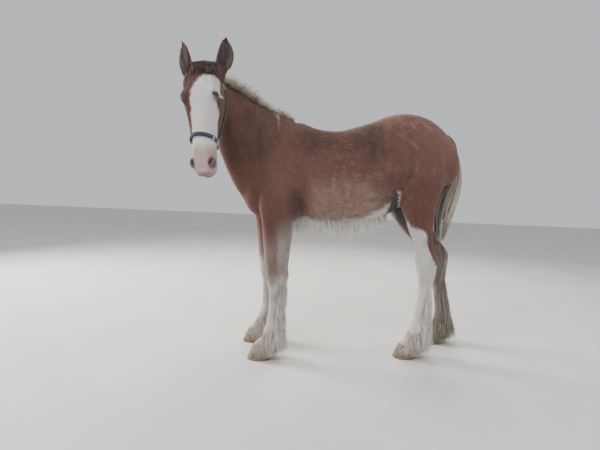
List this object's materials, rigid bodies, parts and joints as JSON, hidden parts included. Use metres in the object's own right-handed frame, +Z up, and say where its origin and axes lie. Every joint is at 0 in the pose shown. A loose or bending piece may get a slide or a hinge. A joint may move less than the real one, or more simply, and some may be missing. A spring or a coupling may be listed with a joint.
{
  "type": "clydesdale cross foal",
  "caption": "Still life-size model of a weanling clydesdale cross foal in a headcollar, standing with its off hind leg back and its head turned to its left.",
  "frame": {"origin": "on the floor under the middle of the model's box, hooves on z = 0", "axes": "-X ahead of the foal, -Y to its near (left) side, +Z up"},
  "size_m": [1.6598, 0.7012, 1.5915],
  "materials": {
    "white_leg_coat": "matte",
    "navy_webbing": "matte",
    "nickel": "glossy",
    "chestnut_coat": "matte",
    "eye": "glossy",
    "horn": "matte",
    "grey_and_flaxen_tail_hair": "matte"
  },
  "bodies": {
    "root": {"cannon_near_fore": "white_leg_coat", "cannon_near_hind": "white_leg_coat", "cannon_off_fore": "white_leg_coat", "cannon_off_hind": "white_leg_coat", "cheekpiece_near": "navy_webbing", "cheekpiece_off": "navy_webbing", "chin_strap": "navy_webbing", "crown_buckle_near": "nickel", "crown_buckle_off": "nickel", "crownpiece": "navy_webbing", "ear_near": "chestnut_coat", "ear_off": "chestnut_coat", "eye_near": "eye", "eye_off": "eye", "forearm_near_fore": "chestnut_coat", "forearm_off_fore": "chestnut_coat", "gaskin_near_hind": "chestnut_coat", "gaskin_off_hind": "chestnut_coat", "head": "chestnut_coat", "hoof_near_fore": "horn", "hoof_near_hind": "horn", "hoof_off_fore": "horn", "hoof_off_hind": "horn", "neck": "chestnut_coat", "nose_ring_near": "nickel", "nose_ring_off": "nickel", "noseband": "navy_webbing", "tail": "grey_and_flaxen_tail_hair", "torso": "chestnut_coat"}
  },
  "joints": []
}
